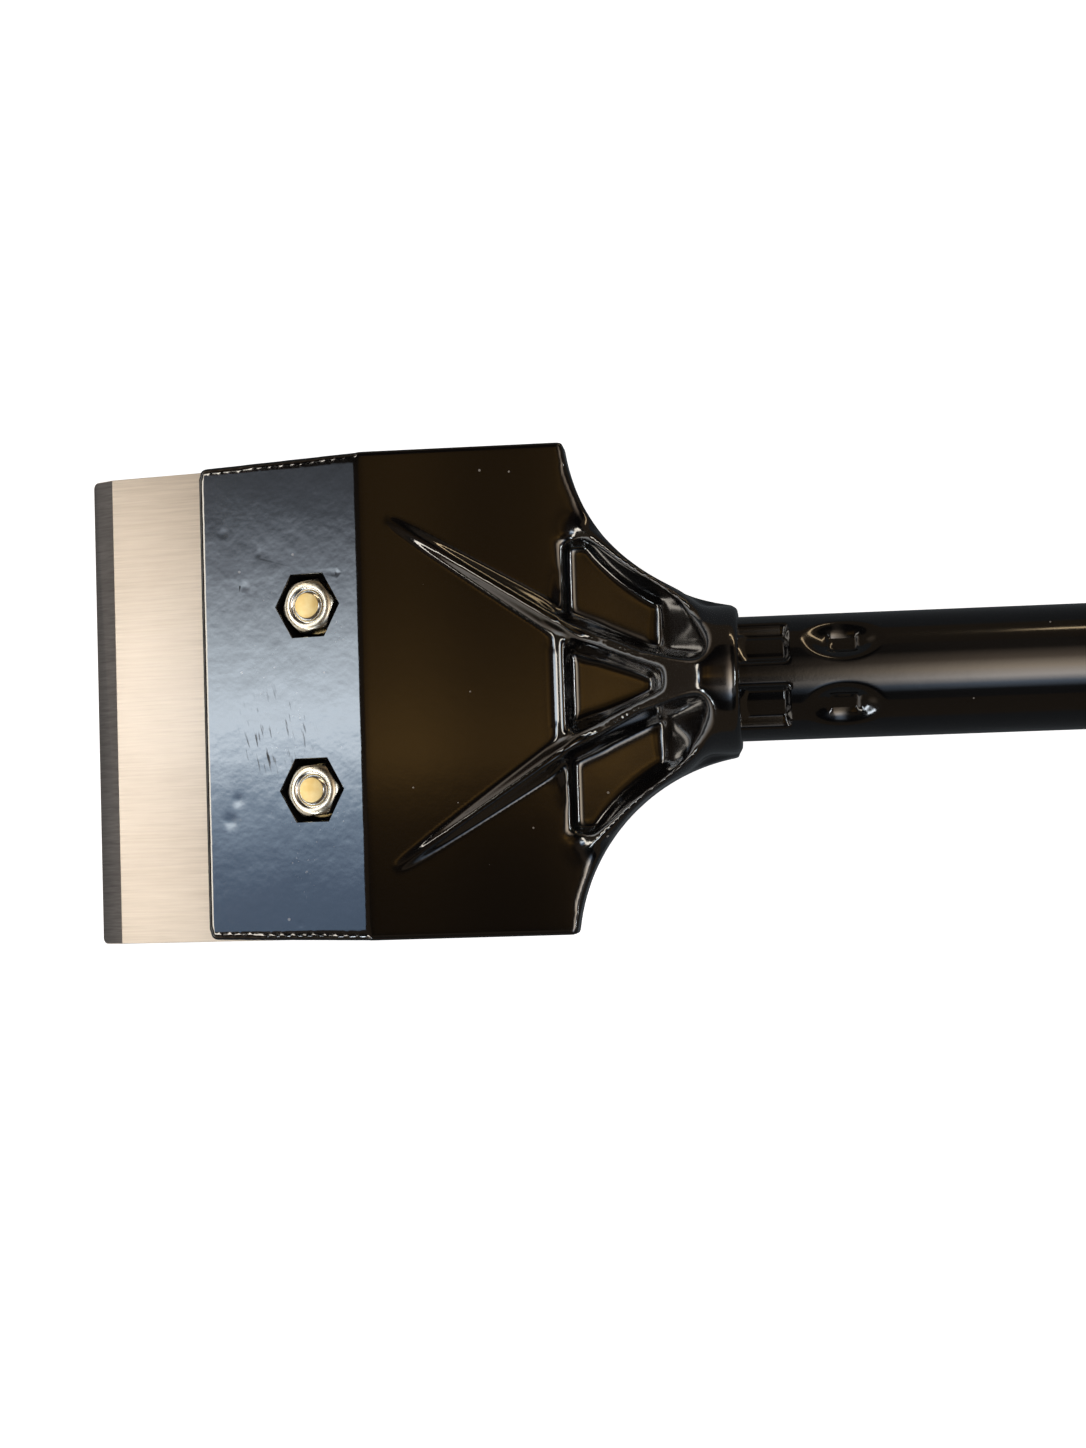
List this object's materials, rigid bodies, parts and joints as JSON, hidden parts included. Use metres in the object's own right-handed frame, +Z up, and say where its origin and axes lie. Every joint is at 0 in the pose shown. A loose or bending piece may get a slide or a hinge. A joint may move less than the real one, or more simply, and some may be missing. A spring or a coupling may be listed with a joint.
{
  "type": "long-handled scraper",
  "caption": "Long-handled scraper: a wide bevelled steel blade bolted under a black cast head with a raised hub, crimped to a straight tube handle with a ribbed grip.",
  "frame": {"origin": "bottom centre of the bounding box, so z = 0 is the level of the cutting edge's under side", "axes": "+X along the handle from the blade to the grip, +Y to the user's right, +Z up through the nuts"},
  "size_m": [1.3748, 0.1276, 0.0533],
  "materials": {
    "head_paint": "glossy black paint over a cast skin",
    "blade_steel": "brushed along the tool, ground bevel",
    "bolt_zinc": "yellow zinc plating",
    "washer_zinc": "yellow zinc plating",
    "nut_zinc": "pale zinc plating",
    "tube_paint": "glossy black paint",
    "grip_rubber": "matt black",
    "cap_plastic": "satin black"
  },
  "bodies": {
    "root": {"head": "head_paint", "blade": "blade_steel", "bolt_left": "bolt_zinc", "bolt_right": "bolt_zinc", "lock_washer_left": "washer_zinc", "lock_washer_right": "washer_zinc", "nut_left": "nut_zinc", "nut_right": "nut_zinc", "handle_tube": "tube_paint", "hand_grip": "grip_rubber", "end_cap": "cap_plastic"}
  },
  "joints": []
}
